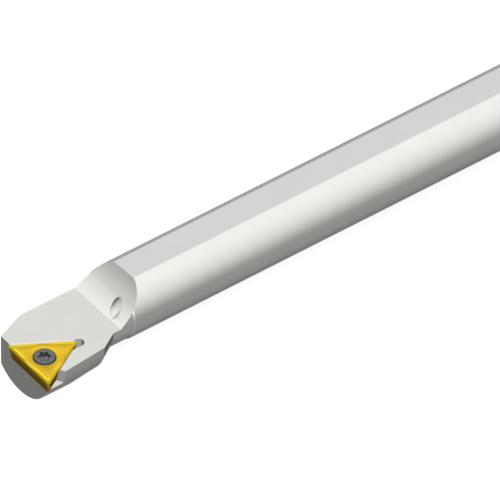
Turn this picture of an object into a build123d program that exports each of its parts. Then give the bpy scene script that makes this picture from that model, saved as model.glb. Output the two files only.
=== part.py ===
from build123d import *
from math import cos, radians, sin, sqrt, tan
import os

# Screw-clamp boring bar, right hand, for a triangular indexable insert.
#
# The bar lies along X. The origin is the centre of the shank's rear face, +X runs towards the
# cutting end, +Y towards the side that cuts, and +Z up. The cutting nose is at centre height, z = 0.
# Lengths are millimetres and angles are degrees.

# ---- bar: driving dimensions
bar_length = 150.0             # rear face to cutting nose
shank_diameter = 12.0
flat_spacing = 11.0            # across the two clamping flats
rear_chamfer = 0.5
neck_diameter = 11.68
neck_behind_nose = 19.1        # where the shank steps down to the neck
neck_step_angle = 30.0
nose_offset = 9.0              # bar axis to the rounded nose

# ---- head
head_behind_nose = 14.95       # where the neck opens out into the head
head_flare_angle = 30.0
head_crest_radius = 7.6        # where the flare meets the front taper, about the bar's axis
head_front_taper = 5.0
head_side_radius = 7.15        # the off-centre turning that trims the head
head_side_reach = 5.88         # how far that turning leaves on the side away from the cut
front_setback = 0.5            # the insert's front edge stands this far proud of the face
corner_angle = 21.4            # chamfer on the front corner away from the cut, to the bar's axis
corner_start = 3.83            # where that chamfer begins on the front face, off the bar's axis

# ---- rake face, and the concave run-out that carries it up to the top flat
lead_yaw = 1.0                 # the cutting edge leads by one degree at the nose
rake_roll = 2.0                # the rake face falls towards the cutting side
runout_behind_nose = 16.35
runout_radius = 16.0
runout_entry_angle = 32.5
runout_sweep = 40.0

# ---- insert
edge_length = 11.0             # sharp corner to sharp corner
insert_thickness = 2.38
clearance_angle = 11.0
nose_radius = 0.4
seat_corner_radius = 0.04      # the nose radius fades almost to nothing at the seat
insert_hole_diameter = 2.8
countersink_diameter = 3.74
countersink_angle = 60.0       # included
edge_land = 0.06               # flat strip along the cutting edges
breaker_depth = 0.15           # the chip breaker's groove behind the land
breaker_fall = 20.0            # slope down from the land
breaker_rise = 45.0            # and up to the plateau in the middle
breaker_corner = 0.1           # the groove's own corner radius, deep down
plateau_inset = 0.6            # from the cutting edges to the plateau
plateau_corner = 0.3
plateau_bulge = 5.9            # diameter of the round that swells the plateau at each mid-edge
bulge_blend = 1.5

# ---- clamping screw
screw_diameter = 2.5
screw_length = 5.6             # below the insert's top face
screw_head_diameter = 3.56
screw_head_rise = 0.25         # above the insert's top face
screw_head_edge = 0.12
socket_across_points = 2.06    # six-lobe socket
socket_across_flutes = 1.47
socket_flute_radius = 0.36
socket_depth = 1.1

# ---- pocket
pocket_lip = 0.17              # chamfer along the top of the two locating walls
wall_end_distance = 7.14       # inner corner to the end of the wall beside the cutting side
relief_radius = 0.85           # cutter relief in the inner corner
relief_inset = 0.16            # relief centre, ahead of the insert's corner
relief_shift = 0.37            # and across it
relief_run = 1.8               # straight side of the relief
relief_extra_depth = 0.3

# ---- coolant way
channel_diameter = 4.0
channel_end_behind_nose = 26.0
channel_tip_angle = 59.0       # half of the drill point
inlet_chamfer = 0.5
jet_diameter = 2.0
jet_mouth = (18.04, 2.54, 1.42)    # behind the nose, off the axis, above centre
jet_reach_back = 8.6
jet_reach_front = 1.8

# ---- worked out from the sizes above
shank_radius = shank_diameter / 2
neck_radius = neck_diameter / 2
flat_height = flat_spacing / 2
clear = 20.0                   # cutters reach this far past the metal
half_corner = radians(30)        # half of the triangle's corner
inscribed_radius = edge_length / (2 * sqrt(3))
corner_radius = 2 * inscribed_radius
undercut = insert_thickness * tan(radians(clearance_angle))
corner_y = nose_offset + nose_radius * (sqrt(3) - 1)    # the corner before it is rounded
neck_x = bar_length - neck_behind_nose
head_x = bar_length - head_behind_nose
crest_x = head_x + (head_crest_radius - neck_radius) / tan(radians(head_flare_angle))

# The rake face, seen from above the nose, with its own x square to the insert's front edge.
rake_up = (0, sin(radians(rake_roll)), cos(radians(rake_roll)))
front_out = (cos(radians(lead_yaw)), -sin(radians(lead_yaw)), 0)
rake_face = Plane(origin=(bar_length, corner_y, 0), x_dir=front_out, z_dir=rake_up)

# The insert's top face, about the middle of its hole.
middle = rake_face.from_local_coords((-inscribed_radius, -edge_length / 2, 0))
insert_top = Plane(origin=middle, x_dir=rake_face.x_dir, z_dir=rake_face.z_dir)
insert_seat = insert_top.offset(-insert_thickness)


# ---- bar
def head_blank():
    """The cutting end as turned: a flare, a front taper and an off-centre trim."""
    end_x = bar_length + clear
    end_radius = head_crest_radius + (crest_x - end_x) * tan(radians(-head_front_taper))
    with BuildPart() as blank:
        with BuildSketch(Plane.XZ):
            with BuildLine():
                Polyline(
                    (head_x, 0),
                    (head_x, neck_radius),
                    (crest_x, head_crest_radius),
                    (end_x, end_radius),
                    (end_x, 0),
                    close=True,
                )
            make_face()
        revolve(axis=Axis.X)
        with BuildSketch(Plane.YZ.offset(head_x)):
            with Locations((head_side_radius - head_side_reach, 0)):
                Circle(head_side_radius)
        extrude(amount=end_x - head_x, mode=Mode.INTERSECT)
    return blank.part


def pocket_corner(grow):
    """The two locating walls seen from above the insert, moved out by grow."""
    inner_corner = -corner_radius - 2 * grow
    reach = clear * cos(half_corner)
    half_width = clear * sin(half_corner)
    with BuildSketch() as outline:
        with BuildLine():
            Polyline(
                (inner_corner, 0),
                (inner_corner + reach, -half_width),
                (inner_corner + reach, half_width),
                close=True,
            )
        make_face()
    return outline.sketch


with BuildPart() as bar:
    # shank and neck, turned
    step_length = (shank_radius - neck_radius) / tan(radians(neck_step_angle))
    with BuildSketch(Plane.XZ):
        with BuildLine():
            Polyline(
                (0, 0),
                (0, shank_radius - rear_chamfer),
                (rear_chamfer, shank_radius),
                (neck_x, shank_radius),
                (neck_x + step_length, neck_radius),
                (head_x, neck_radius),
                (head_x, 0),
                close=True,
            )
        make_face()
    revolve(axis=Axis.X)
    add(head_blank())

    # clamping flats above and below, milled up to the head
    with BuildSketch(Plane.YZ):
        with Locations((0, flat_height + clear / 2), (0, -flat_height - clear / 2)):
            Rectangle(2 * clear, clear)
    extrude(amount=head_x, mode=Mode.SUBTRACT)

    # front face, square to the lead of the cutting edge
    face_middle = rake_face.from_local_coords((-front_setback, 0, 0))
    split(bisect_by=Plane(origin=face_middle, z_dir=front_out), keep=Keep.BOTTOM)

    # chamfered front corner on the side away from the cut
    corner_x = face_middle.X - (face_middle.Y + corner_start) * tan(radians(lead_yaw))
    corner_out = (sin(radians(corner_angle)), -cos(radians(corner_angle)), 0)
    split(bisect_by=Plane(origin=(corner_x, -corner_start, 0), z_dir=corner_out), keep=Keep.BOTTOM)

    # rake face and its concave run-out, milled in one pass across the head
    cross_feed = (0, -cos(radians(rake_roll)), sin(radians(rake_roll)))
    entry = radians(runout_entry_angle)
    with BuildSketch(Plane(origin=(0, corner_y, 0), x_dir=(1, 0, 0), z_dir=cross_feed)):
        with BuildLine():
            runout = JernArc(
                start=(bar_length - runout_behind_nose, 0),
                tangent=(-cos(entry), sin(entry)),
                radius=runout_radius,
                arc_size=-runout_sweep,
            )
            top = runout @ 1
            Polyline(
                top,
                (top.X, clear),
                (bar_length + clear, clear),
                (bar_length + clear, 0),
                runout @ 0,
            )
        make_face()
    extrude(amount=clear, both=True, mode=Mode.SUBTRACT)

    # insert pocket: a seat and two walls that lean with the insert's sides, with chamfered lips
    with BuildSketch(insert_seat):
        add(pocket_corner(-undercut))
    extrude(amount=insert_thickness, taper=-clearance_angle, mode=Mode.SUBTRACT)
    with BuildSketch(insert_top.offset(-pocket_lip)):
        add(pocket_corner(-pocket_lip * tan(radians(clearance_angle))))
    extrude(amount=pocket_lip, taper=-45, mode=Mode.SUBTRACT)

    # the wall beside the cutting side stops short, and the seat runs out past it
    wall_end = (
        wall_end_distance * cos(half_corner) - corner_radius,
        wall_end_distance * sin(half_corner),
    )
    with BuildSketch(insert_seat):
        with Locations(wall_end):
            Rectangle(clear, clear, rotation=30, align=(Align.MIN, Align.MIN))
            Rectangle(clear, undercut, rotation=30, align=(Align.MIN, Align.MAX))
    extrude(amount=clear, mode=Mode.SUBTRACT)

    # cutter relief in the inner corner, below the seat
    with BuildSketch(insert_seat.offset(-relief_extra_depth)):
        with Locations((relief_inset - corner_radius, relief_shift)):
            Circle(relief_radius)
            Rectangle(relief_run, relief_radius, align=(Align.MIN, Align.MIN))
    extrude(amount=clear, mode=Mode.SUBTRACT)

    # tapped hole for the clamping screw, right through the head
    with BuildSketch(insert_seat):
        Circle(screw_diameter / 2)
    extrude(amount=-clear, mode=Mode.SUBTRACT)

    # coolant channel from the rear, with a drill point and a chamfered mouth
    channel_radius = channel_diameter / 2
    channel_end = bar_length - channel_end_behind_nose
    with BuildSketch(Plane.XZ):
        with BuildLine():
            Polyline(
                (0, 0),
                (0, channel_radius + inlet_chamfer),
                (inlet_chamfer, channel_radius),
                (channel_end, channel_radius),
                (channel_end + channel_radius / tan(radians(channel_tip_angle)), 0),
                close=True,
            )
        make_face()
    revolve(axis=Axis.X, mode=Mode.SUBTRACT)

    # coolant jet, drilled from the run-out and aimed at the nose
    mouth = Vector(bar_length - jet_mouth[0], jet_mouth[1], jet_mouth[2])
    jet = Plane(origin=mouth, z_dir=Vector(bar_length, nose_offset, 0) - mouth)
    with BuildSketch(jet.offset(-jet_reach_back)):
        Circle(jet_diameter / 2)
    extrude(amount=jet_reach_back + jet_reach_front, mode=Mode.SUBTRACT)


# ---- insert
def breaker_groove():
    """The chip breaker: it falls from the land and rises to a plateau that swells at each mid-edge."""
    fall = breaker_depth / tan(radians(breaker_fall))
    with BuildPart() as groove:
        # the land follows the nose, so the groove's mouth has rounded corners
        with BuildSketch(insert_top) as mouth:
            RegularPolygon(radius=corner_radius - 2 * edge_land, side_count=3, rotation=180)
            fillet(mouth.vertices(), nose_radius - edge_land)
        with BuildSketch(insert_top.offset(-breaker_depth)) as foot:
            RegularPolygon(radius=corner_radius - 2 * (edge_land + fall), side_count=3, rotation=180)
            fillet(foot.vertices(), breaker_corner)
        loft(ruled=True)
        with BuildSketch(insert_top) as plateau:
            RegularPolygon(radius=corner_radius - 2 * plateau_inset, side_count=3, rotation=180)
            fillet(plateau.vertices(), plateau_corner)
            Circle(plateau_bulge / 2)
            swells = plateau.vertices().group_by(SortBy.DISTANCE)[0]
            fillet(swells, bulge_blend)
        extrude(amount=-breaker_depth, taper=breaker_rise - 90, mode=Mode.SUBTRACT)
    return groove.part


with BuildPart() as insert:
    # sintered body, with sides that lean in towards the seat at the clearance angle
    with BuildSketch(insert_seat) as underside:
        RegularPolygon(radius=corner_radius - 2 * undercut, side_count=3, rotation=180)
        fillet(underside.vertices(), seat_corner_radius)
    with BuildSketch(insert_top) as top_side:
        RegularPolygon(radius=corner_radius, side_count=3, rotation=180)
        fillet(top_side.vertices(), nose_radius)
    loft(ruled=True)
    add(breaker_groove(), mode=Mode.SUBTRACT)

    # screw hole with its countersink
    hole_radius = insert_hole_diameter / 2
    sink_radius = countersink_diameter / 2
    sink_depth = (sink_radius - hole_radius) / tan(radians(countersink_angle / 2))
    with BuildSketch(insert_seat):
        Circle(hole_radius)
    extrude(amount=insert_thickness, mode=Mode.SUBTRACT)
    with BuildSketch(insert_top):
        Circle(sink_radius)
    with BuildSketch(insert_top.offset(-sink_depth)):
        Circle(hole_radius)
    loft(mode=Mode.SUBTRACT)


# ---- clamping screw
with BuildPart() as clamp_screw:
    # head and shank, turned about the screw's axis; the cone bears on the insert's countersink
    screw_axis = Plane(origin=middle, x_dir=rake_face.x_dir, z_dir=rake_face.y_dir)
    head_radius = screw_head_diameter / 2
    thread_radius = screw_diameter / 2
    cone = tan(radians(countersink_angle / 2))
    cone_top = (head_radius - sink_radius) / cone
    cone_foot = (thread_radius - sink_radius) / cone
    with BuildSketch(screw_axis):
        with BuildLine():
            Polyline(
                (0, -screw_head_rise),
                (head_radius - screw_head_edge, -screw_head_rise),
                (head_radius, screw_head_edge - screw_head_rise),
                (head_radius, -cone_top),
                (thread_radius, -cone_foot),
                (thread_radius, screw_length),
                (0, screw_length),
                close=True,
            )
        make_face()
    revolve(axis=Axis(middle, rake_face.z_dir))

    # six-lobe socket in the head
    with BuildSketch(insert_top.offset(screw_head_rise)):
        Circle(socket_across_points / 2)
        flute_ring = socket_across_flutes / 2 + socket_flute_radius
        with PolarLocations(flute_ring, 6):
            Circle(socket_flute_radius, mode=Mode.SUBTRACT)
    extrude(amount=-socket_depth, mode=Mode.SUBTRACT)


# ---- files, one for each piece
os.makedirs("parts", exist_ok=True)

bar.part.label = "bar"
export_step(bar.part, "parts/bar.step")

insert.part.label = "insert"
export_step(insert.part, "parts/insert.step")

clamp_screw.part.label = "clamp_screw"
export_step(clamp_screw.part, "parts/clamp_screw.step")
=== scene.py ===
# %% [markdown]
# # A boring bar on a pale studio floor
# This lesson dresses a small lathe tool: a steel bar, a gold-coated carbide insert and the black
# screw that clamps it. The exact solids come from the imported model. The bar is dressed from its own
# solid, and the insert and the screw are modelled again at the solids' sizes. Lengths are written
# in millimetres and turned to metres by one factor.

# %% Load the exact model
import math
import bmesh
import bpy
from mathutils import Matrix, Vector


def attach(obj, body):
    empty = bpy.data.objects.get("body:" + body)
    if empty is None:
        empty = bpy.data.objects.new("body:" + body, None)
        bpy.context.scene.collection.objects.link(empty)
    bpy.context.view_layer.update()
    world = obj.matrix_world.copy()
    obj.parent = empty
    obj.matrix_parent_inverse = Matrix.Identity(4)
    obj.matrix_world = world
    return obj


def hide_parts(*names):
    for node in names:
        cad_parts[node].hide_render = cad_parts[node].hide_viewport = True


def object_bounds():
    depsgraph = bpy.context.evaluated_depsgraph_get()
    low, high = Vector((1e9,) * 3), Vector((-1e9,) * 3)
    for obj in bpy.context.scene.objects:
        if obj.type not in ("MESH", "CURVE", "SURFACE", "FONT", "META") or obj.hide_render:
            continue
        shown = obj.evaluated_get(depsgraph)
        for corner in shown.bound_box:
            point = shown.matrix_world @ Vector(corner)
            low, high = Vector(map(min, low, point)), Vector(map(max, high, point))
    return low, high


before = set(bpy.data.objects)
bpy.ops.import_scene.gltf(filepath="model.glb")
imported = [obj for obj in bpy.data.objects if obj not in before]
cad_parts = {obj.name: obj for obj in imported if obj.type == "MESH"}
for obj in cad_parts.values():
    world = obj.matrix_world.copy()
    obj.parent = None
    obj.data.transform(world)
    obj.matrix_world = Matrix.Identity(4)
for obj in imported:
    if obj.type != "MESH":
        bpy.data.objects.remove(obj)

MM = 0.001
cad_low, cad_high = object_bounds()
print("CAD box in mm:", [round(c / MM, 2) for c in (*cad_low, *cad_high)])

# %% [markdown]
# ## Camera
# Catalogue pictures of tools are drawn with almost no perspective. A very long lens far away gives
# that look and still lets the camera move round the object. Lens and distance go together: the
# distance is worked out so that the frame is 76 mm wide at its middle.

# %% Camera
view_azimuth = math.radians(142.40)
view_elevation = math.radians(40.92)
frame_middle = Vector((115.1, 13.95, 11.9)) * MM
frame_width = 76.0 * MM
lens = 1500.0
sensor = 36.0

away = Vector((
    math.sin(view_azimuth) * math.cos(view_elevation),
    -math.cos(view_azimuth) * math.cos(view_elevation),
    math.sin(view_elevation),
))
distance = frame_width * lens / sensor
camera_data = bpy.data.cameras.new("long_lens")
camera_data.lens = lens
camera_data.sensor_width = sensor
camera_data.clip_end = 3 * distance
camera = bpy.data.objects.new("camera", camera_data)
bpy.context.scene.collection.objects.link(camera)
camera.location = frame_middle + away * distance
camera.rotation_mode = "QUATERNION"
camera.rotation_quaternion = (-away).to_track_quat("-Z", "Y")
bpy.context.scene.camera = camera
print("camera is", round(distance, 2), "m away")

# %% [markdown]
# ## Small helpers for materials
# Every material below is a chain of nodes. One function adds a node, sets its values and joins its
# inputs, so a material reads as a list of steps. Colours are given as hex values, as a designer
# picks them on a screen, and are turned to the linear values that the renderer works in.


# %% Helpers: colour and nodes
def linear(hex_colour):
    """An sRGB hex colour such as 'C0C0BE' as linear RGBA."""
    channels = [int(hex_colour[i:i + 2], 16) / 255 for i in (0, 2, 4)]
    return (*[c / 12.92 if c <= 0.04045 else ((c + 0.055) / 1.055) ** 2.4 for c in channels], 1.0)


def add_node(tree, kind, settings=None, **inputs):
    """Adds a node. settings are its own fields; inputs are values, or sockets that feed it."""
    node = tree.nodes.new(kind)
    for field, value in (settings or {}).items():
        setattr(node, field, value)
    for name, value in inputs.items():
        key = int(name[1:]) if name[0] == "_" and name[1:].isdigit() else name.replace("_", " ")
        if isinstance(value, bpy.types.NodeSocket):
            tree.links.new(value, node.inputs[key])
        else:
            node.inputs[key].default_value = value
    return node


def new_material(name):
    """A material with its own empty tree, a Principled shader and an output."""
    material = bpy.data.materials.new(name)
    material.use_nodes = True
    tree = material.node_tree
    tree.nodes.clear()
    shader = add_node(tree, "ShaderNodeBsdfPrincipled")
    add_node(tree, "ShaderNodeOutputMaterial", Surface=shader.outputs["BSDF"])
    return material, tree, shader


# %% [markdown]
# ## Light: the tent
# The light is a soft studio tent, built in the world shader, with no hard lamp. Satin metal shows
# what it reflects, so the tent's brightness is given by direction: bright overhead and dim below,
# with its bright pole leaning to the cutting side.

# %% Tent
tent_pole = Vector((0.0, 0.71, 1.0))
tent_levels = ((-1.3, 0.03), (-0.85, 0.44), (-0.5, 0.52), (0.1, 0.40), (1.3, 1.78))

world = bpy.data.worlds.new("studio_tent")
bpy.context.scene.world = world
world.use_nodes = True
sky = world.node_tree
sky.nodes.clear()
look = add_node(sky, "ShaderNodeTexCoord").outputs["Generated"]
toward_pole = add_node(
    sky, "ShaderNodeVectorMath", {"operation": "DOT_PRODUCT"}, _0=look, _1=tent_pole)
lowest, highest = tent_levels[0][0], tent_levels[-1][0]
brightest = tent_levels[-1][1]
fraction = add_node(
    sky, "ShaderNodeMapRange", Value=toward_pole.outputs["Value"],
    From_Min=lowest, From_Max=highest)
tent = add_node(sky, "ShaderNodeValToRGB", Fac=fraction.outputs["Result"])
ramp = tent.color_ramp.elements
for place, level in tent_levels[1:-1]:
    ramp.new((place - lowest) / (highest - lowest))
for element, (place, level) in zip(ramp, tent_levels):
    element.color = (level / brightest,) * 3 + (1.0,)
total = add_node(
    sky, "ShaderNodeMath", {"operation": "MULTIPLY"}, _0=tent.outputs["Color"], _1=brightest)
print("tent from", tent_levels[0][1], "below to", brightest, "overhead")

# %% [markdown]
# ## Light: lamps and cards
# Three soft lamps shine through the cloth: a tight one low on the cutting side, a weak one on the
# other side and a wide one over the cutting end. Two black cards, which are lamps of negative
# brightness, hang low behind the head, to keep its flare dark, and overhead, so that the flats
# don't burn out when they are seen from above. The cloth evens out what is left of the hottest and
# darkest spots.

# %% Lamps and cards
soft_lamps = (      # turn and height in degrees, brightness, tightness
    (58.6, 4, 1.43, 15),
    (-120, 34, 0.36, 6),
    (-39.5, 65, 1.5, 3.8),
)
black_cards = ((180, -37, -0.55, 17), (0, 76, -2.3, 15))
darkest_cloth = 0.02
brightest_cloth = 1.75


def lamp_direction(turn, height):
    """The direction in which a lamp lies, from its turn and height in degrees."""
    turn, height = math.radians(turn), math.radians(height)
    return Vector((
        math.cos(turn) * math.cos(height), math.sin(turn) * math.cos(height), math.sin(height)))


for turn, up_angle, power, tightness in soft_lamps + black_cards:
    facing = add_node(
        sky, "ShaderNodeVectorMath", {"operation": "DOT_PRODUCT"},
        _0=look, _1=lamp_direction(turn, up_angle))
    front = add_node(
        sky, "ShaderNodeMath", {"operation": "MAXIMUM"}, _0=facing.outputs["Value"], _1=0.0)
    glow = add_node(
        sky, "ShaderNodeMath", {"operation": "POWER"}, _0=front.outputs["Value"], _1=tightness)
    total = add_node(
        sky, "ShaderNodeMath", {"operation": "MULTIPLY_ADD"},
        _0=glow.outputs["Value"], _1=power, _2=total.outputs["Value"])
evened = add_node(
    sky, "ShaderNodeClamp", Value=total.outputs["Value"], Min=darkest_cloth, Max=brightest_cloth)
cloth = add_node(
    sky, "ShaderNodeBackground", Color=linear("FFFFFD"), Strength=evened.outputs["Result"])
add_node(sky, "ShaderNodeOutputWorld", Surface=cloth.outputs["Background"])
bpy.context.scene.view_settings.view_transform = "Standard"
print(len(soft_lamps), "soft lamps and", len(black_cards), "black cards")

# %% [markdown]
# ## Floor
# A plain pale sheet, level with the lowest point of the head, which the bar rests on. It glows
# weakly, as paper on a light table does, so that the bar's shadow stays faint. It is left out of
# reflections, as if black card lay on it just outside the view, so the tool's flank stays dark.

# %% Floor
floor_size = 30.0
floor_glow = 0.72
paper_roughness = 0.9

bpy.ops.object.select_all(action="DESELECT")
bpy.ops.mesh.primitive_plane_add(size=floor_size, location=(0, 0, cad_low.z))
floor = bpy.context.object
floor.name = "studio_floor"
floor.visible_glossy = False
floor.visible_diffuse = False
paper, _, shader = new_material("paper_on_light_table")
shader.inputs["Base Color"].default_value = linear("B4B4B2")
shader.inputs["Roughness"].default_value = paper_roughness
shader.inputs["Emission Color"].default_value = linear("FFFFFE")
shader.inputs["Emission Strength"].default_value = floor_glow
floor.data.materials.append(paper)
print("floor at", round(cad_low.z / MM, 2), "mm")

# %% [markdown]
# ## Patterns in real millimetres
# Tool marks, grain and stains all have a real size, so their patterns run on the object's own
# coordinates, turned to millimetres. A piece that sits at an angle gives its own frame, and the
# Mapping node then measures along that piece. Stretching one axis turns grain into brushed lines.


# %% Helpers: patterns
def in_mm(tree, place):
    """Object coordinates in mm, measured in a piece's own frame."""
    own = add_node(tree, "ShaderNodeTexCoord").outputs["Object"]
    measured = add_node(
        tree, "ShaderNodeMapping", {"vector_type": "TEXTURE"}, Vector=own,
        Location=place.translation, Rotation=place.to_euler(), Scale=(MM, MM, MM))
    return measured.outputs["Vector"]


def grain(tree, where, size, stretch=(1, 1, 1)):
    """Soft noise whose spots are about size mm wide, and longer where it is stretched."""
    squeezed = add_node(
        tree, "ShaderNodeVectorMath", {"operation": "DIVIDE"},
        _0=where, _1=tuple(size * s for s in stretch))
    return add_node(
        tree, "ShaderNodeTexNoise", Vector=squeezed.outputs["Vector"], Scale=1.0).outputs[0]


# %% [markdown]
# ## A metal with a surface
# All finishes on this tool are metals, so they share one recipe. A broad pattern blends two shades
# of the base colour, and a fine one makes the roughness vary and raises a relief of a given height.
# Bare metals reflect with their own colour, and near grazing angles with a second tint.

# %% Metal recipe
noise_low, noise_high = 0.3, 0.7      # nearly all of a noise pattern lies between these
bump_strength = 0.5


def metal(name, shades, roughness, relief, patterns, place=Matrix.Identity(4), edge_tint="FFFFFF"):
    """A metal with two shades, a range of roughness, a relief in mm and its own patterns."""
    material, tree, shader = new_material(name)
    broad, fine = patterns(tree, in_mm(tree, place))
    colour = add_node(
        tree, "ShaderNodeMix", {"data_type": "RGBA"},
        _0=broad, _6=linear(shades[0]), _7=linear(shades[1]))
    rough = add_node(
        tree, "ShaderNodeMapRange", Value=fine, From_Min=noise_low, From_Max=noise_high,
        To_Min=roughness[0], To_Max=roughness[1])
    bump = add_node(
        tree, "ShaderNodeBump", Strength=bump_strength, Distance=relief * MM, Height=fine)
    tree.links.new(colour.outputs[2], shader.inputs["Base Color"])
    tree.links.new(rough.outputs["Result"], shader.inputs["Roughness"])
    tree.links.new(bump.outputs["Normal"], shader.inputs["Normal"])
    shader.inputs["Metallic"].default_value = 1.0
    shader.inputs["Specular Tint"].default_value = linear(edge_tint)
    print(name, "from", shades[0], "to", shades[1], "roughness", roughness)
    return material


# %% [markdown]
# ## Nickel-plated steel
# The bar is turned and milled from alloy steel, hardened, and nickel plated without current, which
# leaves an even satin, light and slightly warm. Under the plating the tool's feed marks still run
# across the bar. The clamping flats are ground afterwards, along the bar, and look a little cooler.
# Real feed marks are 0.05 to 0.1 mm apart, too fine to show, so they are drawn 0.4 mm apart and
# very shallow. To the eye they make a highlight that isn't quite as smooth as plastic.

# %% Plated steel
plating_patch = 4.0
mark_spacing = 0.4
mark_relief = 0.0012
plated_satin = (0.33, 0.37)
across_bar = (1, 60, 60)
along_bar = (80, 1, 60)


def feed_marks(stretch):
    def patterns(tree, where):
        return grain(tree, where, plating_patch), grain(tree, where, mark_spacing, stretch)
    return patterns


turned_steel = metal(
    "nickel_plated_turned_steel", ("C6C6C4", "CCCCC9"), plated_satin, mark_relief,
    feed_marks(across_bar))
ground_steel = metal(
    "nickel_plated_ground_steel", ("C5C5C4", "CACACA"), plated_satin, mark_relief,
    feed_marks(along_bar))

# %% [markdown]
# ## Gold-coated carbide
# The insert is carbide powder, pressed and sintered, under a hard titanium nitride coating a few
# thousandths of a millimetre thick, grown in a vapour furnace. The coating is a true gold colour,
# satin because the carbide's grains show through it. Lit and shaded copies of it are painted on: a
# little greener where the chip breaker slopes, as a painted highlight tint, browner on the flanks, as
# painted shade, and brightest on the small rise behind the breaker's groove, as a painted highlight.
# Carbide grains are a few microns, so they are drawn 0.12 mm wide to show at all. The tint at
# grazing angles keeps the edges gold, not white.

# %% Coated carbide
coating_patch = 1.5
carbide_grain = 0.12
grain_relief = 0.002
coated_satin = (0.30, 0.36)
rise_satin = (0.26, 0.32)


def sintered_grain(tree, where):
    return grain(tree, where, coating_patch), grain(tree, where, carbide_grain)


gold_face = metal(
    "gold_nitride_coating", ("CBA92C", "D2B030"), coated_satin, grain_relief, sintered_grain,
    edge_tint="C8A850")
# Painted highlight tint: the breaker's slopes are drawn greener, a lit copy of the coating.
gold_slope_highlight_tint = metal(
    "gold_nitride_slope_painted_tint", ("C0A628", "C8AE2C"), coated_satin, grain_relief,
    sintered_grain, edge_tint="C8B858")
# Painted shade: the flanks are drawn browner, a shaded copy of the coating.
gold_flank_painted_shade = metal(
    "gold_nitride_flank_painted_shade", ("C4A652", "CEB056"), coated_satin, grain_relief, sintered_grain,
    edge_tint="C0A050")
# Painted highlight: the rise behind the groove is drawn brightest, a lit copy of the coating.
gold_rise_painted_highlight = metal(
    "gold_nitride_rise_painted_highlight", ("E2C638", "EACF42"), rise_satin, grain_relief / 2,
    sintered_grain, edge_tint="E0C860")

# %% [markdown]
# ## Modelling by hand, in code
# Each new piece is made as at the screen: a primitive is added at its size, then shaped in edit
# mode. Small helpers stand for the mouse: one selects by place, one keeps a selected ring under a
# name, one joins two kept rings with a band of faces, and others add a ring, scale what is selected
# about the piece's axis, round the edges and put the finished piece in place.


# %% Helpers: edit mode
def near(value, target, within=1e-3):
    """Tells whether two lengths in mm, or two angles, are the same but for rounding."""
    return abs(value - target) < within


def pick(kind, test):
    """Selects the vertices, edges or faces whose middle, in mm, passes the test."""
    bpy.ops.mesh.select_mode(type=kind)
    bpy.ops.mesh.select_all(action="DESELECT")
    mesh = bmesh.from_edit_mesh(bpy.context.object.data)
    count = 0
    for part in {"VERT": mesh.verts, "EDGE": mesh.edges, "FACE": mesh.faces}[kind]:
        corners = [part] if kind == "VERT" else part.verts
        middle = sum((corner.co for corner in corners), Vector()) / len(corners) / MM
        if test(middle):
            part.select_set(True)
            count += 1
    mesh.select_flush_mode()
    bmesh.update_edit_mesh(bpy.context.object.data)
    return count


def keep_ring(name):
    """Keeps the selected ring as a vertex group."""
    bpy.ops.object.vertex_group_assign_new()
    bpy.context.object.vertex_groups.active.name = name


def give_finish(number):
    """Gives the selected faces one of the piece's materials."""
    bpy.context.object.active_material_index = number
    bpy.ops.object.material_slot_assign()


def bridge(first, second, finish=0):
    """Joins two kept rings with a band of faces, in one of the piece's materials."""
    bpy.ops.mesh.select_mode(type="VERT")
    bpy.ops.mesh.select_all(action="DESELECT")
    groups = bpy.context.object.vertex_groups
    for name in (first, second):
        groups.active_index = groups[name].index
        bpy.ops.object.vertex_group_select()
    bpy.ops.mesh.bridge_edge_loops()
    give_finish(finish)


def add_ring(name, count, radius, height):
    """Adds a ring of points about the piece's own axis, in mm, and keeps it."""
    bpy.ops.mesh.select_all(action="DESELECT")
    bpy.ops.mesh.primitive_circle_add(
        vertices=count, radius=radius * MM, location=(0, 0, height * MM))
    keep_ring(name)


def scale_picked(factor, rise=1.0):
    """Scales what is selected about the piece's own axis, and its height by rise."""
    bpy.ops.transform.resize(value=(factor, factor, rise), center_override=(0, 0, 0))


def new_piece(name, materials):
    """Starts an empty piece at the origin, and stays in edit mode for its first primitive."""
    bpy.ops.object.select_all(action="DESELECT")
    bpy.ops.object.add(type="MESH")
    piece = bpy.context.object
    piece.name = piece.data.name = name
    for material in materials:
        piece.data.materials.append(material)
    bpy.ops.object.mode_set(mode="EDIT")
    return piece


def round_edges(piece, width, steps, sharper_than):
    """Rounds every edge that turns by more than an angle, with a Bevel modifier."""
    rounding = piece.modifiers.new("rounding", "BEVEL")
    rounding.width = width * MM
    rounding.segments = steps
    rounding.limit_method = "ANGLE"
    rounding.angle_limit = math.radians(sharper_than)
    bpy.ops.object.modifier_apply(modifier=rounding.name)


def finish_piece(piece, place, smooth_angle, node):
    """Puts the piece in place, smooths it and makes it stand for a CAD node."""
    piece.matrix_world = place
    bpy.ops.object.select_all(action="DESELECT")
    piece.select_set(True)
    bpy.context.view_layer.objects.active = piece
    bpy.ops.object.transform_apply()
    bpy.ops.object.shade_smooth_by_angle(angle=math.radians(smooth_angle))
    piece.vertex_groups.clear()
    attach(piece, "root")
    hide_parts(node)
    print(piece.name, len(piece.data.polygons), "faces, stands for", node)


# %% [markdown]
# ## Where the insert sits
# The insert's seat is milled at a compound angle. Seen from above, its front edge leads by one
# degree, and the whole rake face rolls two degrees towards the nose. The insert and its screw are
# modelled flat about the hole's axis, and this one matrix then puts both in the pocket.

# %% The insert's own frame
lead_yaw = math.radians(1.0)
rake_roll = math.radians(2.0)
sharp_corner = Vector((150.0, 9.2928, 0.0))      # where the two long sides meet above the nose
edge_length = 11.0
inscribed_radius = edge_length * math.sqrt(3) / 6

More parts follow.
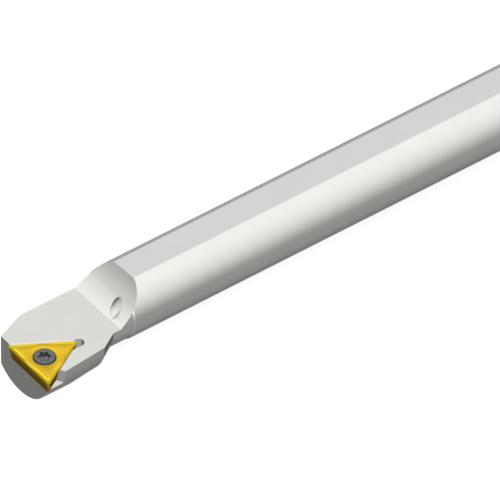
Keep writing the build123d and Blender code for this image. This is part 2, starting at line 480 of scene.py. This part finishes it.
up = Vector((0, math.sin(rake_roll), math.cos(rake_roll)))
forward = Vector((math.cos(lead_yaw), -math.sin(lead_yaw), 0))
sideways = up.cross(forward).normalized()
forward = sideways.cross(up)
hole_middle = sharp_corner - inscribed_radius * forward - edge_length / 2 * sideways
turned = Matrix((forward, sideways, up)).transposed().to_4x4()
in_pocket = Matrix.Translation(hole_middle * MM) @ turned
print("hole's middle in mm:", [round(c, 3) for c in hole_middle])

# %% [markdown]
# ## The insert's outlines
# A throw-away insert is pressed from carbide powder and sintered, so its shape is a stack of
# outlines: a triangle with rounded corners at the cutting edge, a smaller one at the seat, and more
# for the chip breaker. Each outline is a triangle primitive with bevelled corners and its sides cut
# into the same number of steps, so that any two of them can be bridged.

# %% Outline helper
corner_steps = 12
side_cuts = 23
ring_points = 3 * (corner_steps + 1 + side_cuts)
corner_bevel = 1.971     # a bevel this many radii long leaves that radius at the corner's tip


def add_outline(name, inset, corner, height):
    """Adds a rounded triangle that lies inside the cutting edge by inset, in mm."""
    radius = inscribed_radius - inset
    bpy.ops.mesh.select_all(action="DESELECT")
    bpy.ops.mesh.primitive_circle_add(
        vertices=3, radius=2 * radius * MM, fill_type="NGON",
        location=(0, 0, height * MM), rotation=(0, 0, math.pi / 2))
    bpy.ops.mesh.bevel(offset=corner_bevel * corner * MM, segments=corner_steps, affect="VERTICES")
    keep_ring(name)
    bpy.ops.mesh.delete(type="ONLY_FACE")
    pick("EDGE", lambda p: near(p.z, height) and near(p.xy.length, radius))
    bpy.ops.mesh.subdivide(number_cuts=side_cuts)


# %% [markdown]
# ## Insert: body
# The two outer outlines are the cutting edge and the seat. The sides lean in by 11 degrees so that
# only the edge touches the work, and the nose radius fades to nothing on the way down. The seat's
# outline is therefore smaller by the lean and has almost sharp corners.

# %% Insert: cutting edge and seat
insert_thickness = 2.38
clearance = math.radians(11)
nose_radius = 0.4
seat_corner = 0.04
undercut = insert_thickness * math.tan(clearance)
SLOPE, FLANK, RISE = 1, 2, 3        # the finishes after the face's own

insert = new_piece("coated_insert", (gold_face, gold_slope_highlight_tint, gold_flank_painted_shade, gold_rise_painted_highlight))
add_outline("cutting_edge", 0, nose_radius, 0)
add_outline("seat", undercut, seat_corner, -insert_thickness)
bridge("cutting_edge", "seat", FLANK)
print("seat outline lies", round(undercut, 3), "mm inside the edge")

# %% [markdown]
# ## Insert: chip breaker
# Behind a narrow land the surface falls by 20 degrees into a groove, and then rises at 45 degrees
# to a flat plateau. The groove curls the chip. At the middle of each side the plateau swells
# towards the edge, which breaks the chips of a deep cut. The swell is a soft wave: the points of
# both inner outlines are scaled outwards, a few at a time, from the middle of each side.

# %% Insert: land, groove and plateau
edge_land = 0.06
plateau_inset = 0.6
plateau_corner = 0.3
groove_corner = 0.3
swell_reach = 0.375
swell_half_width = 2.0
breaker_fall = math.tan(math.radians(20))


def groove_at(plateau):
    """Where a 20 degree fall from the land meets a 45 degree rise to the plateau, in mm."""
    run = (plateau - edge_land) / (1 + breaker_fall)
    return edge_land + run, -run * breaker_fall


def swell(name, inset, height, reach, new_height):
    """Pushes the middle of each side of a kept outline outwards, in a soft wave."""
    radius = inscribed_radius - inset
    furthest = math.hypot(radius, swell_half_width)
    group = insert.vertex_groups[name].index
    mesh = bmesh.from_edit_mesh(insert.data)
    weights = mesh.verts.layers.deform.verify()
    offsets = sorted({
        round(math.sqrt(max(v.co.xy.length_squared / MM**2 - radius**2, 0)), 3)
        for v in mesh.verts if group in v[weights] and v.co.xy.length / MM < furthest
    })
    for along in offsets:
        wave = (1 + math.cos(math.pi * along / swell_half_width)) / 2
        distance = math.hypot(radius, along)
        pick("VERT", lambda p: near(p.z, height) and near(p.xy.length, distance, within=2e-3))
        rise = 1 + wave * (new_height / height - 1) if height else 1.0
        scale_picked(1 + wave * reach / radius, rise)
    print(name, "swells in", len(offsets), "steps")


groove_inset, groove_depth = groove_at(plateau_inset)
swell_groove, swell_depth = groove_at(plateau_inset - swell_reach)
add_outline("plateau", plateau_inset, plateau_corner, 0)
swell("plateau", plateau_inset, 0, swell_reach, 0)
add_outline("groove", groove_inset, groove_corner, groove_depth)
swell("groove", groove_inset, groove_depth, groove_inset - swell_groove, swell_depth)
add_outline("land", edge_land, nose_radius - edge_land, 0)
bridge("cutting_edge", "land", SLOPE)
bridge("land", "groove", SLOPE)
bridge("groove", "plateau", RISE)
print("groove is", round(-groove_depth, 3), "mm deep")

# %% [markdown]
# ## Insert: screw hole
# The clamping screw pulls the insert into its pocket through a countersunk hole. Its rings have as
# many points as the outlines, so the flat round it is one clean band of faces.

# %% Insert: countersunk hole
insert_hole = 1.4
countersink = 1.87
sink_slope = math.tan(math.radians(30))
insert_edge_break = 0.025


def sink_height(radius):
    """The height, in mm, at which the countersink's cone has this radius."""
    return -(countersink - radius) / sink_slope


add_ring("sink_mouth", ring_points, countersink, 0)
add_ring("sink_foot", ring_points, insert_hole, sink_height(insert_hole))
add_ring("hole_foot", ring_points, insert_hole, -insert_thickness)
for outer, inner in (
        ("plateau", "sink_mouth"), ("sink_mouth", "sink_foot"), ("sink_foot", "hole_foot"),
        ("hole_foot", "seat")):
    bridge(outer, inner)
bpy.ops.mesh.select_all(action="SELECT")
bpy.ops.mesh.normals_make_consistent(inside=False)
bpy.ops.object.mode_set(mode="OBJECT")
round_edges(insert, insert_edge_break, steps=2, sharper_than=16)
finish_piece(insert, in_pocket, smooth_angle=35, node="insert")

# %% [markdown]
# ## Blackened steel
# The screw is blackened by hot oxide, which leaves a blue-black film. The top of the head and the
# floor of its socket are drawn a dark grey, a painted highlight, while the rim, the socket's wall and
# the thread keep the full black. The height, measured in the insert's own frame, tells them apart.

# %% Blackened steel
head_rise = 0.25
socket_depth = 1.1
socket_wall = 1.0
stain_size = 0.5
stain_relief = 0.002
oxide_satin = (0.36, 0.44)
highlight_fade = 0.02
least_highlight = 0.8


# Painted highlight: the head's top and the socket's floor are drawn lighter than the black oxide, in
# patchy stains.
def painted_highlight_top(tree, where):
    height = add_node(tree, "ShaderNodeSeparateXYZ", Vector=where).outputs["Z"]
    on_top = add_node(
        tree, "ShaderNodeMapRange", Value=height,
        From_Min=head_rise - highlight_fade, From_Max=head_rise)
    floor_middle = head_rise - (socket_wall + socket_depth) / 2
    on_floor = add_node(
        tree, "ShaderNodeMath", {"operation": "COMPARE"},
        _0=height, _1=floor_middle, _2=(socket_depth - socket_wall + highlight_fade) / 2)
    painted_highlight = add_node(
        tree, "ShaderNodeMath", {"operation": "MAXIMUM"},
        _0=on_top.outputs["Result"], _1=on_floor.outputs["Value"])
    stains = grain(tree, where, stain_size)
    patchy = add_node(
        tree, "ShaderNodeMapRange", Value=stains,
        From_Min=noise_low, From_Max=noise_high, To_Min=least_highlight)
    broad = add_node(
        tree, "ShaderNodeMath", {"operation": "MULTIPLY"},
        _0=painted_highlight.outputs["Value"], _1=patchy.outputs["Result"])
    return broad.outputs["Value"], stains


black_steel = metal(
    "blackened_steel", ("4A4A4C", "68686A"), oxide_satin, stain_relief, painted_highlight_top, place=in_pocket)

# %% [markdown]
# ## Clamping screw: head
# The screw is turned from bar, so its head is a stack of rings down to the cone that bears on the
# countersink. The head stands a quarter of a millimetre proud of the insert.

# %% Screw: head
head_radius = 1.78
head_edge = 0.12
thread_radius = 1.25
screw_points = 96
cone_foot = sink_height(thread_radius)

screw = new_piece("six_lobe_screw", (black_steel,))
add_ring("top", screw_points, head_radius - head_edge, head_rise)
add_ring("rim", screw_points, head_radius, head_rise - head_edge)
add_ring("cone_top", screw_points, head_radius, sink_height(head_radius))
add_ring("cone_foot", screw_points, thread_radius, cone_foot)
for upper, lower in (("top", "rim"), ("rim", "cone_top"), ("cone_top", "cone_foot")):
    bridge(upper, lower)
print("head stands", head_rise, "mm proud")

# %% [markdown]
# ## Clamping screw: socket
# The driver's socket has six lobes, which a cold punch forms. A ring in the head is pulled in
# between its lobes by the curve of a flute, a few points at a time, and then pushed down as the
# punch would, to a shallow cone at the bottom.

# %% Screw: six-lobe socket
lobe_radius = 1.03
waist_radius = 0.735
flute_radius = 0.36
flute_centre = waist_radius + flute_radius
lobe_angle = math.pi / 3
step_angle = 2 * math.pi / screw_points

add_ring("socket", screw_points, lobe_radius, head_rise)
for step in range(round(lobe_angle / 2 / step_angle) + 1):
    angle = step * step_angle
    inside = flute_radius**2 - (flute_centre * math.sin(angle))**2
    if inside < 0:
        break
    reach = min(flute_centre * math.cos(angle) - math.sqrt(inside), lobe_radius)

    def on_flute(p):
        turn = math.atan2(p.y, p.x) % lobe_angle
        offset = min(turn, lobe_angle - turn)
        return (near(p.z, head_rise) and near(p.xy.length, lobe_radius)
                and near(offset, angle, within=step_angle / 4))

    pick("VERT", on_flute)
    scale_picked(reach / lobe_radius)
bridge("top", "socket")
bpy.ops.mesh.select_all(action="DESELECT")
bpy.ops.object.vertex_group_select()
for drop in (socket_wall, socket_depth - socket_wall):
    bpy.ops.mesh.extrude_region_move(TRANSFORM_OT_translate={"value": (0, 0, -drop * MM)})
bpy.ops.mesh.merge(type="CENTER")
print("socket is", socket_depth, "mm deep")

# %% [markdown]
# ## Clamping screw: closed head
# The cone's open foot gets a face, which makes the head a closed shape, and its edges are rounded
# before the thread is added, so that the thread keeps its own crisp crests.

# %% Screw: closed head
screw_edge_break = 0.03

pick("VERT", lambda p: near(p.z, cone_foot))
bpy.ops.mesh.edge_face_add()
bpy.ops.mesh.select_all(action="SELECT")
bpy.ops.mesh.normals_make_consistent(inside=False)
bpy.ops.object.mode_set(mode="OBJECT")
round_edges(screw, screw_edge_break, steps=2, sharper_than=25)
print("head has", len(screw.data.polygons), "faces")

# %% [markdown]
# ## Clamping screw: thread
# Below the head the screw carries a fine metric thread. One tooth of its profile is drawn as three
# points and wound into a helix by a Screw modifier, which starts one turn below the screw's tip.

# %% Screw: thread
thread_pitch = 0.45
thread_depth = 0.25
thread_play = 0.01
thread_steps = 40
screw_length = 5.6
turns = math.ceil(screw_length / thread_pitch) + 1
root_radius = thread_radius - thread_play - thread_depth
thread_start = -(screw_length + thread_pitch)

bpy.ops.object.select_all(action="DESELECT")
bpy.ops.mesh.primitive_plane_add(
    size=thread_pitch * MM, rotation=(math.pi / 2, 0, 0),
    location=((root_radius + thread_pitch / 2) * MM, 0, thread_start * MM))
thread = bpy.context.object
bpy.ops.object.transform_apply()
bpy.ops.object.mode_set(mode="EDIT")
pick("VERT", lambda p: p.x > thread_radius)
bpy.ops.mesh.delete(type="VERT")
bpy.ops.mesh.select_all(action="SELECT")
bpy.ops.mesh.subdivide(number_cuts=1)
pick("VERT", lambda p: near(p.z, thread_start))
bpy.ops.transform.translate(value=(thread_depth * MM, 0, 0))
bpy.ops.object.mode_set(mode="OBJECT")
winding = thread.modifiers.new("winding", "SCREW")
winding.screw_offset = thread_pitch * MM
winding.iterations = turns
winding.steps = winding.render_steps = thread_steps
bpy.ops.object.modifier_apply(modifier=winding.name)
print("thread of", turns, "turns,", thread_pitch, "mm apart")

# %% [markdown]
# ## Clamping screw: one piece
# The turns are welded where they meet, then cut flat at the tip and just inside the head, and both
# cuts are filled. Head and thread become one piece. Only the tip shows from below, because the
# rest lies inside the tapped hole.

# %% Screw: one piece
weld = 1e-6
cut_tolerance = 1e-7
head_overlap = 0.05

bpy.ops.object.mode_set(mode="EDIT")
bpy.ops.mesh.select_all(action="SELECT")
bpy.ops.mesh.remove_doubles(threshold=weld)
for height, below in ((-screw_length, True), (cone_foot + head_overlap, False)):
    bpy.ops.mesh.select_all(action="SELECT")
    bpy.ops.mesh.bisect(
        plane_co=(0, 0, height * MM), plane_no=(0, 0, 1), use_fill=True,
        clear_inner=below, clear_outer=not below, threshold=cut_tolerance)
bpy.ops.mesh.select_all(action="SELECT")
bpy.ops.mesh.normals_make_consistent(inside=False)
bpy.ops.object.mode_set(mode="OBJECT")
screw.select_set(True)
bpy.context.view_layer.objects.active = screw
bpy.ops.object.join()
print("screw reaches", screw_length, "mm below the insert's face")
finish_piece(screw, in_pocket, smooth_angle=30, node="clamp_screw")

# %% [markdown]
# ## Bores
# The coolant channel, its jet and the tapped hole are drilled, and light hardly gets into them. A
# bore's steel is therefore drawn darker from its mouth inwards, over a diameter or two, as painted
# shade, with the faint rings that a drill leaves. The relief in the pocket's corner is milled, and is
# drawn darker towards the shank as painted shade, so that it reads as a recess.

# %% Bored steel
rings_per_mm = 2.5


def bore_depth(mouth, inwards, reach):
    """A painted shade that goes from 0 at a bore's mouth to 1 at reach mm inside, and a drill's
    rings.
    """
    def patterns(tree, where):
        from_mouth = add_node(
            tree, "ShaderNodeVectorMath", {"operation": "SUBTRACT"}, _0=where, _1=mouth)
        depth = add_node(
            tree, "ShaderNodeVectorMath", {"operation": "DOT_PRODUCT"},
            _0=from_mouth.outputs["Vector"], _1=inwards).outputs["Value"]
        shade = add_node(tree, "ShaderNodeMapRange", Value=depth, From_Max=reach)
        rings = add_node(
            tree, "ShaderNodeTexNoise", {"noise_dimensions": "1D"}, W=depth, Scale=rings_per_mm)
        return shade.outputs["Result"], rings.outputs[0]
    return patterns


bore_shades = ("787876", "121212")
drilled_satin = (0.38, 0.5)
ring_relief = 0.004
channel_fade = 4.0
channel_steel = metal(
    "bored_steel_channel", bore_shades, drilled_satin, ring_relief,
    bore_depth(Vector(), Vector((1, 0, 0)), channel_fade))

nose = Vector((150.0, 9.0, 0.0))
jet_mouth = Vector((131.96, 2.54, 1.42))
to_jet = (jet_mouth - nose).normalized()
jet_fade = 2.5
jet_satin = (0.36, 0.4)
jet_steel = metal(
    "bored_steel_jet", ("CACAC7", "A8A8A6"), jet_satin, ring_relief / 2,
    bore_depth(jet_mouth, to_jet, jet_fade))

tapped_reach = 7.2      # below the insert's face; faces that reach lower keep the outer finish
tapped_mouth = hole_middle - tapped_reach * up
tapped_fade = 2.5
tapped_steel = metal(
    "bored_steel_tapped_hole", bore_shades, drilled_satin, ring_relief,
    bore_depth(tapped_mouth, up, tapped_fade))

relief_back, relief_across = 6.19, 0.37
relief_middle = hole_middle - relief_back * forward + relief_across * sideways
to_shank = Vector((-0.79, 0.61, 0.0))
relief_start, relief_fade = 0.25, 0.6
milled_satin = (0.36, 0.42)
# Painted shade: the relief's wall is drawn darker towards the shank.
relief_painted_shade_steel = metal(
    "milled_steel_relief_painted_shade", ("D6D6D4", "5C5C5A"), milled_satin, ring_relief / 2,
    bore_depth(relief_middle + relief_start * to_shank, to_shank, relief_fade))

# %% [markdown]
# ## Bar
# The bar's shape is already exact, so its own mesh is copied, and only what a deburring wheel does
# is added: every sharp edge is broken by a few hundredths of a millimetre. That thin rounding is
# what makes an edge of real steel catch the light. The copy's loose triangles are merged first, and
# those that lie in one plane become one face, so that the rounding runs evenly.

# %% Bar: clean copy
same_plane = math.radians(0.2)

bar = bpy.data.objects.new("machined_bar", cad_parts["bar"].data.copy())
bpy.context.scene.collection.objects.link(bar)
bpy.ops.object.select_all(action="DESELECT")
bar.select_set(True)
bpy.context.view_layer.objects.active = bar
bar.data.materials.clear()
for material in (
        turned_steel, ground_steel, channel_steel, jet_steel, tapped_steel, relief_painted_shade_steel):
    bar.data.materials.append(material)
bpy.ops.object.mode_set(mode="EDIT")
bpy.ops.mesh.select_all(action="SELECT")
bpy.ops.mesh.remove_doubles(threshold=weld)
bpy.ops.mesh.dissolve_limited(angle_limit=same_plane)
give_finish(0)
print(len(bmesh.from_edit_mesh(bar.data).faces), "faces after merging")

# %% [markdown]
# ## Bar: which face has which finish
# The flats are found by their height. A bore's wall is found by its axis: all the corners of its
# faces lie within the drill's radius, between the bore's two ends.


# %% Bar: flats and bores
def pick_bore(start, end, radius, play=0.01):
    """Selects the faces whose corners all lie within a drill's radius of its path, in mm."""
    path = (end - start).normalized()
    bpy.ops.mesh.select_mode(type="FACE")
    bpy.ops.mesh.select_all(action="DESELECT")
    mesh = bmesh.from_edit_mesh(bpy.context.object.data)

    def inside(corner):
        from_start = corner.co / MM - start
        along = from_start.dot(path)
        off_axis = (from_start - along * path).length
        return 0 <= along <= (end - start).length and off_axis < radius + play

    bored = [face for face in mesh.faces if all(inside(corner) for corner in face.verts)]
    for face in bored:
        face.select_set(True)
    bmesh.update_edit_mesh(bpy.context.object.data)
    return len(bored)


GROUND, FIRST_BORE = 1, 2       # the finishes after the turned steel's
flat_height = 5.5
channel_radius, jet_radius, relief_radius = 2.0, 1.0, 0.85
channel_start, channel_end = 0.4, 127.0         # from behind the mouth's chamfer to the point
jet_inside, jet_outside = 8.7, 2.0              # from the middle of the jet's slanting mouth
relief_below, relief_above = 2.8, 0.3           # from the insert's face

print(pick("FACE", lambda p: near(abs(p.z), flat_height)), "flats")
give_finish(GROUND)
bores = (
    (Vector((channel_start, 0, 0)), Vector((channel_end, 0, 0)), channel_radius),
    (jet_mouth + jet_inside * to_jet, jet_mouth - jet_outside * to_jet, jet_radius),
    (tapped_mouth, hole_middle, thread_radius),
    (relief_middle - relief_below * up, relief_middle + relief_above * up, relief_radius),
)
for finish, (bore_start, bore_end, bore_radius) in enumerate(bores, start=FIRST_BORE):
    found = pick_bore(bore_start, bore_end, bore_radius)
    print(found, "faces in the bore of radius", bore_radius)
    give_finish(finish)
bpy.ops.object.mode_set(mode="OBJECT")

# %% [markdown]
# ## Bar: broken edges and even shading
# The rounding is a Bevel modifier. Weighted normals then let the big faces keep their own direction
# and leave the turn to the small ones, so no flat looks dished. The pieces are left out of
# reflections, so that each shows only the tent, as in many catalogue pictures. The bores would
# show it too, which is why their darkness is drawn in their materials.

# %% Bar: edges
edge_break = 0.06
round_edges(bar, edge_break, steps=2, sharper_than=15)
finish_piece(bar, Matrix.Identity(4), smooth_angle=16, node="bar")
even = bar.modifiers.new("even_shading", "WEIGHTED_NORMAL")
even.keep_sharp = True
bpy.ops.object.modifier_apply(modifier=even.name)
for piece in (bar, insert, screw):
    piece.visible_glossy = False
